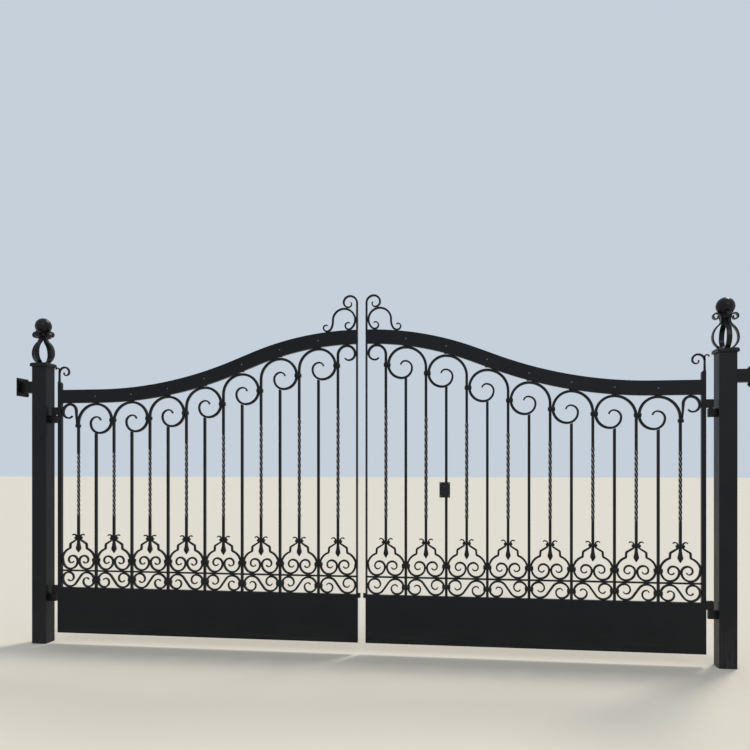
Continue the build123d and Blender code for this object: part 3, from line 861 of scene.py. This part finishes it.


# The pale bare colour on these bars is mostly painted glint, laid on their twisted faces as painted
# highlight; a little of it shows as worn edges.
bar_paint = paint(
    "semi-gloss black on the bars",
    0.0006,
    paint=(0.0046, 0.0054, 0.007, 1),
    chalk=(0.03, 0.032, 0.036, 1),
    dust=(0.3, 0.27, 0.22, 1),
    roughness=0.3,
    chalkiness=0.3,
    dustiness=0.35,
    dust_reach=0.5,
    dent_size=90.0,
    dents=0.9,
    bare=(0.42, 0.41, 0.39, 1),
    wear=0.09,
    twist_wear=0.9,
)
for side, sign in leaves:
    lines = [headed_bar(bay) for bay in range(bay_count)] + [end_scroll()]
    name = f"{side}_twisted_bars"
    bars = forged(name, lines, bar, bar, bar_edge, bar_paint, on_leaf(sign), cuts=2)
    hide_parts(f"{side}_scroll_bars")
    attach(bars, f"{side}_leaf")

# Plain bars and band bars: straight bars that stand on the lower rail between the scroll-headed
# ones, and a thin bar welded across between them. Both are black as the headed bars are.
for side, _ in leaves:
    dress(bar_paint, f"{side}_plain_bars", f"{side}_band_bar")

# Onion frames: strips of 16 x 12 mm bar, bent in pairs round each bud. A collar ties them to the
# bar at the neck, their belly leans on the plain bars, and their ends coil inwards.
strip = 0.012
half_strip = strip / 2
strip_edge = 0.001
strip_tip = 0.5
neck_x = half_bar + gap + half_strip
neck_height, neck_foot = 0.217, 0.205
shoulder_top = (0.057, 0.178)
shoulder_foot = (0.059, 0.147)
shoulder_radii = (0.010, 0.009, 0.007)
girth_x = bay_width / 2 - half_bar - gap - half_strip
girth_height = 0.072
belly_radius, belly_turn = 0.068, 40
onion_taper = 0.10


def slope_between(start, end):
    """Heading from one place to another, in degrees."""
    return math.degrees(math.atan2(end[1] - start[1], end[0] - start[0]))


def onion_strip():
    """One strip from its small outward curl over the neck to its inner coil."""
    curl = walk(neck_x, neck_height, 90, (0, 0.006), *coiled((0.0175,), 0.0085, 80, -1))
    # The shoulder goes down, out, down and then into a wide bend that ends upright at the girth
    slope = slope_between((neck_x, neck_foot), shoulder_top)
    drop = slope_between(shoulder_top, shoulder_foot)
    swing_rise = shoulder_foot[1] - girth_height
    swing_reach = girth_x - shoulder_foot[0]
    swing_radius = (swing_reach**2 + swing_rise**2) / (2 * swing_reach)
    swing = math.degrees(math.asin(swing_rise / swing_radius))
    turns = (slope + 90, drop - slope, swing - 90 - drop)
    cuts = [radius * math.tan(math.radians(abs(turn) / 2)) for radius, turn in zip(shoulder_radii, turns)]
    bends = list(zip(shoulder_radii, turns))
    shoulder = walk(
        neck_x,
        neck_height,
        -90,
        (0, neck_height - neck_foot - cuts[0]),
        bends[0],
        (0, math.dist((neck_x, neck_foot), shoulder_top) - cuts[0] - cuts[1]),
        bends[1],
        (0, math.dist(shoulder_top, shoulder_foot) - cuts[1] - cuts[2]),
        bends[2],
        (swing_radius, math.degrees(cuts[2] / swing_radius) - swing),
    )
    # The belly's second bend ends level on the band bar
    foot = half_band + gap + half_strip
    turned_share = math.sin(math.radians(belly_turn))
    second_radius = (girth_height - foot - belly_radius * turned_share) / (1 - turned_share)
    belly_bends = ((belly_radius, -belly_turn), (second_radius, belly_turn - 90))
    belly = walk(girth_x, girth_height, -90, *belly_bends)
    inner = belly[-1][0] - half_strip - gap / 2
    coil = walk(*belly[-1], 180, *coiled((inner, 0.035, 0.028, 0.020), 0.014, 80, -1))
    points = curl[:0:-1] + shoulder[:-1] + belly + coil[1:]
    return drawn_out(points, strip_tip, onion_taper, both=True)


ornament_paint = paint(
    "semi-gloss black on the ornament",
    0.0005,
    paint=(0.0046, 0.0054, 0.007, 1),
    chalk=(0.024, 0.026, 0.03, 1),
    dust=(0.32, 0.28, 0.23, 1),
    roughness=0.3,
    chalkiness=0.25,
    dustiness=0.4,
    dust_reach=0.6,
    dent_size=140.0,
    dents=1.2,
)
one_side = onion_strip()
for side, sign in leaves:
    lines = []
    for bay in range(bay_count):
        for way in (1, -1):
            lines.append([(bay_middle(bay) + way * x, band_height + z, *fact) for x, z, *fact in one_side])
    name = f"{side}_onion_strips"
    onions = forged(name, lines, strip, bar, strip_edge, ornament_paint, on_leaf(sign))
    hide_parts(f"{side}_onion_frames")
    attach(onions, f"{side}_leaf")

# S-scrolls: one strip in each bay between the lower rail and the band bar, coiled at both ends
# and turned the other way in every second bay.
scroll_middle = panel_height + half_space
scroll_top = half_space - half_strip - gap
slant = 0.030
tilt = 55
scroll_taper = 0.11
slant_rise = slant * math.sin(math.radians(tilt))
rising_radius = (scroll_top - slant_rise) / (1 - math.cos(math.radians(tilt)))
rising = walk(0, 0, tilt, (0, slant), (rising_radius, -tilt))
side_radius = girth_x - rising[-1][0]


def s_scroll():
    """Whole S about its own middle. Each half is the other one turned by half a turn."""
    side_on = walk(*rising[-1], 0, (side_radius, -90))
    under = side_on[-1][1] + scroll_top
    coil = walk(*side_on[-1], -90, *coiled((under, 0.034, 0.024), 0.0145, 80, -1))
    half = rising + side_on[1:] + coil[1:]
    points = [(-x, -z) for x, z in half[:0:-1]] + half
    return drawn_out(points, strip_tip, scroll_taper, both=True)


one_scroll = s_scroll()
for side, sign in leaves:
    lines = []
    for bay in range(bay_count):
        way = 1 if bay % 2 == 0 else -1
        lines.append([(bay_middle(bay) + way * x, scroll_middle + z, *fact) for x, z, *fact in one_scroll])
    name = f"{side}_s_scrolls"
    scrolls = forged(name, lines, strip, bar, strip_edge, ornament_paint, on_leaf(sign))
    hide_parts(f"{side}_band_scrolls")
    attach(scrolls, f"{side}_leaf")

# Crest: on each meeting stile a strip rises into a loop, which rests on an arch of a second
# strip. The arch stands on the rail with a coil at one foot and a small curl at the other.
stile_x = 0.003
crest_depth = 0.014
crest_taper = 0.09
arch = 0.071
arch_x = stile_x + strip + gap + arch
loop_radii = (0.045, 0.040, 0.030, 0.020)
volute_bends = ((0.069, 50), (0.024, 40))
leg_bends = ((0.086, 30), (0.031, 60))
crest_tip = (0.012, 60)


def crest_seat(x, radius):
    """Height of a foot's middle line where it starts its last bend down to the rail."""
    return rail_level(x, -(radius + half_strip + gap)) - radius


def crest_lines():
    """The loop, and the arch with both its feet."""
    volute_x, volute_z = walk(arch_x - arch, 0, -90, *volute_bends)[-1]
    arch_z = crest_seat(volute_x, volute_bends[-1][0]) - volute_z
    leg_x, leg_z = walk(arch_x + arch, arch_z, -90, *leg_bends)[-1]
    leg_run = leg_z - crest_seat(leg_x, leg_bends[-1][0])
    # The loop's third bend leans on the arch
    first, second, third, _ = loop_radii
    sideways = arch_x - (stile_x + first + second - third)
    between = third + arch + strip + gap
    lean = math.asin(sideways / between)
    start = arch_z + between * math.cos(lean) + second - first
    top = low_height + rise
    loop = walk(stile_x, top, 90, (0, start - top), *coiled(loop_radii, *crest_tip, -1))
    volute = (*volute_bends, *coiled((0.023, 0.020), *crest_tip))
    left = walk(arch_x, arch_z + arch, 180, (arch, 90), *volute)
    leg = (*leg_bends, *coiled((0.022, 0.017), *crest_tip))
    right = walk(arch_x, arch_z + arch, 0, (arch, -90), (0, leg_run), *leg)
    return [
        drawn_out(loop, strip_tip, crest_taper),
        drawn_out(left[:0:-1] + right, strip_tip, crest_taper, both=True),
    ]


for side, sign in leaves:
    name = f"{side}_crest"
    crest = forged(name, crest_lines(), strip, crest_depth, strip_edge, ornament_paint, on_leaf(sign))
    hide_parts(f"{side}_crest_scrolls")
    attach(crest, f"{side}_leaf")

# Stile scrolls: a strip on each hinge stile that curls out over the post's side, with a coil
# welded to its inner side.
stile_outer = 2.017
stem_x = stile_outer - half_strip
horn = low_height + 0.055
stem_run = 0.079
coil_rise = 0.058
stem_points = walk(stem_x, horn, 90, (0, stem_run), *coiled((0.013,), 0.013, 80, -1))
coil_points = walk(stem_x, horn + coil_rise, 90, *coiled((0.037, 0.032, 0.022), 0.014, 120))
stile_lines = [drawn_out(points, strip_tip, crest_taper) for points in (stem_points, coil_points)]
for side, sign in leaves:
    name = f"{side}_stile_stem"
    stems = forged(name, stile_lines, strip, crest_depth, strip_edge, ornament_paint, on_leaf(sign))
    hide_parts(f"{side}_stile_scrolls")
    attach(stems, f"{side}_leaf")

# Collars: bands of flat bar wrapped hot round a bar and the scrolls that touch it, with rounded
# edges. They hold each head to the next bar, and each onion and S-scroll to the bars beside it.
collar_wall = 0.0045
collar_height, end_collar_height, neck_collar_height = 0.024, 0.020, 0.015
end_share = 0.3
touch_level = side_radius - scroll_top


def collar_shape(hole_wide, hole_deep, wall, tall):
    """Rounded band round a rectangular hole, about its own middle."""
    edge = ((-0.5, 0.0), (-0.5, 0.6), (-0.42, 0.88), (-0.3, 1.0))
    levels = edge + tuple((-level, share) for level, share in edge[::-1])
    swell = 1.1
    shape = bmesh.new()
    rings = []
    for level, share in levels:
        out = wall * share * swell
        ring = []
        for x, y in ((1, 1), (-1, 1), (-1, -1), (1, -1)):
            corner = math.degrees(math.atan2(y, x))
            for turn in (-30, 0, 30):
                away = math.radians(corner + turn)
                wide = x * hole_wide / 2 + out * math.cos(away)
                deep = y * hole_deep / 2 + out * math.sin(away)
                ring.append(shape.verts.new((wide, deep, level * tall)))
        rings.append(ring)
    count = len(rings[0])
    for low, high in zip(rings, rings[1:] + rings[:1]):
        for number in range(count):
            after = (number + 1) % count
            shape.faces.new((low[number], low[after], high[after], high[number]))
    bmesh.ops.remove_doubles(shape, verts=shape.verts, dist=1e-6)
    bmesh.ops.recalc_face_normals(shape, faces=shape.faces)
    for face in shape.faces:
        face.smooth = True
    return shape


pair_marks, neck_marks, girth_marks = [], [], []
end_marks = [(bay_middle(bay_count - 1) + end_share / 2 * bar, end_collar)]
for bay in range(bay_count):
    neck_marks.append((bay_middle(bay), band_height + neck_height))
for number in range(1, bay_count):
    pair_level = head_start(number) + crook_radius - head_reach
    pair_marks.append((bay_middle(number - 1) + half_bar + gap / 2, pair_level))
    way = 1 if number % 2 == 0 else -1
    girth_marks.append((number * bay_width, band_height + girth_height))
    girth_marks.append((number * bay_width, scroll_middle + way * touch_level))
three_wide = bar + 2 * strip + 4 * gap
kinds = (
    ("pair", pair_marks, 2 * bar + 3 * gap, collar_height),
    ("end", end_marks, (1 + end_share) * bar + 3 * gap, end_collar_height),
    ("neck", neck_marks, three_wide, neck_collar_height),
    ("girth", girth_marks, three_wide, collar_height),
)
for side, sign in leaves:
    for label, marks, hole, tall in kinds:
        placed = [(on_leaf(sign)(x, z), unturned, full_size) for x, z in marks]
        shape = collar_shape(hole, bar + 2 * gap, collar_wall, tall)
        collars = repeat(f"{side}_{label}_collars", shape, placed, ornament_paint)
        if label == "pair":
            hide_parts(f"{side}_collars")
        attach(collars, f"{side}_leaf")

# Welds and rivets of the leaves: small beads where bars and heads are welded on, and one rivet
# head on each face of the rail over each plain bar, with its black paint worn to grey.
foot_weld, head_weld = 0.0022, 0.0024
foot_weld_level = panel_height + 0.0002
head_weld_reach, head_weld_side = 0.012, 0.005
half_frame = 0.0125
rivet_drop = 0.046
rivet_paint = paint(
    "worn grey on the rivets",
    0.0003,
    paint=(0.13, 0.135, 0.145, 1),
    chalk=(0.2, 0.205, 0.215, 1),
    dust=(0.2, 0.18, 0.15, 1),
    roughness=0.38,
    chalkiness=0.6,
    dustiness=0.2,
    dust_reach=0.1,
    dent_size=300.0,
    dents=1.0,
)
rivet_profile = [
    (0, -0.001),
    (0.0042, -0.001),
    (0.0046, 0.0003),
    (0.0036, 0.0017),
    (0.002, 0.0025),
    (0, 0.0028),
]
for side, sign in leaves:
    to_gate = on_leaf(sign)
    marks, rivet_marks = [], []
    for number in range(1, bay_count):
        x = number * bay_width
        for front in (-1, 1):
            ends = [to_gate(x + out * half_bar, foot_weld_level, front * half_bar) for out in (-1, 1)]
            marks += weld_marks(*ends, foot_weld)
            spot = to_gate(x, rail_level(x, rivet_drop), front * half_frame)
            rivet_marks.append((spot, (-front * math.pi / 2, 0, 0), full_size))
    for bay in range(bay_count):
        x = bay_middle(bay) - head_radius(bay)
        level = rail_level(x, rail_depth + proud)
        for front in (-1, 1):
            ends = [to_gate(x + out * head_weld_reach, level, front * head_weld_side) for out in (-1, 1)]
            marks += weld_marks(*ends, head_weld)
    beads = repeat(f"{side}_leaf_welds", ripple(), marks, weld_paint)
    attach(beads, f"{side}_leaf")
    rivets = repeat(f"{side}_rivets", turned(rivet_profile, 16), rivet_marks, rivet_paint)
    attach(rivets, f"{side}_leaf")

# Lock box: a welded steel box for the lock's latch, on one plain bar of the right leaf. A round
# painted cover over the keyhole and four small screws are in its face.
lock_paint = paint(
    "satin black on the lock box",
    0.0005,
    paint=(0.012, 0.0125, 0.014, 1),
    chalk=(0.04, 0.04, 0.044, 1),
    dust=(0.3, 0.27, 0.22, 1),
    roughness=0.4,
    chalkiness=0.3,
    dustiness=0.25,
    dust_reach=0.2,
    dent_size=60.0,
    dents=0.6,
)
dress(lock_paint, "right_lock_box")
lock_low, lock_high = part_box("right_lock_box")
lock_x = (lock_low.x + lock_high.x) / 2
lock_z = (lock_low.z + lock_high.z) / 2
cover_rise = 0.014
screw_x, screw_z = 0.024, 0.038
faced = (math.pi / 2, 0, 0)
cover_profile = [
    (0, -0.001),
    (0.014, -0.001),
    (0.0145, 0.0008),
    (0.0138, 0.002),
    (0.0105, 0.0022),
    (0.0098, 0.0036),
    (0.0092, 0.004),
    (0, 0.004),
]
cover_mark = ((lock_x, lock_low.y, lock_z + cover_rise), faced, full_size)
keyhole_cover = repeat("keyhole_cover", turned(cover_profile, 40), [cover_mark], lock_paint)
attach(keyhole_cover, "right_leaf")
screw_profile = [
    (0, -0.0005),
    (0.0034, -0.0005),
    (0.0036, 0.0006),
    (0.0026, 0.0013),
    (0.0012, 0.0015),
    (0, 0.0012),
]
screw_marks = []
for across, along in square:
    spot = (lock_x + across * screw_x, lock_low.y, lock_z + along * screw_z)
    screw_marks.append((spot, faced, full_size))
screws = repeat("lock_screws", turned(screw_profile, 16), screw_marks, rivet_paint)
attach(screws, "right_leaf")

# Stage: a plain pale floor and background, a high soft lamp behind the gate and a weak one in
# front. The camera stands where the photograph was taken, and looks a little to the left.
floor_material = bpy.data.materials.new("pale floor")
floor_material.use_nodes = True
shader = floor_material.node_tree.nodes["Principled BSDF"]
shader.inputs["Base Color"].default_value = (0.75, 0.67, 0.56, 1)
shader.inputs["Roughness"].default_value = 0.95
shader.inputs["Specular IOR Level"].default_value = 0.1
half_floor = 80.0
floor_mesh = bpy.data.meshes.new("floor")
floor_corners = [(across * half_floor, along * half_floor, 0) for across, along in square]
floor_mesh.from_pydata(floor_corners, [], [(0, 1, 2, 3)])
floor_mesh.materials.append(floor_material)
floor = new_piece("floor", floor_mesh)

scene = bpy.context.scene
world = bpy.data.worlds.new("pale background")
scene.world = world
world.use_nodes = True
world.node_tree.nodes["Background"].inputs["Color"].default_value = (0.56, 0.63, 0.71, 1)


def lamp(name, toward, strength, spread, tint):
    """Soft lamp that stands far off in a direction."""
    light = bpy.data.lights.new(name, "SUN")
    light.energy = strength
    light.angle = math.radians(spread)
    light.color = tint
    obj = new_piece(name, light)
    obj.rotation_euler = Vector(toward).to_track_quat("Z", "Y").to_euler()


lamp("high lamp", (0.42, 0.62, 0.95), strength=1.5, spread=14, tint=(1.0, 0.97, 0.92))
lamp("front lamp", (0.3, -0.85, 0.5), strength=0.5, spread=25, tint=(0.96, 0.98, 1.0))

camera = bpy.data.cameras.new("camera")
camera.sensor_width = 36.0
camera.lens = 35.28
camera.shift_y = 0.1227
camera_object = new_piece("camera", camera)
camera_object.location = (2.888, -4.546, 1.168)
camera_object.rotation_euler = Vector((-0.1417, 0.9899, 0)).to_track_quat("-Z", "Y").to_euler()
scene.camera = camera_object
scene.view_settings.view_transform = "Standard"
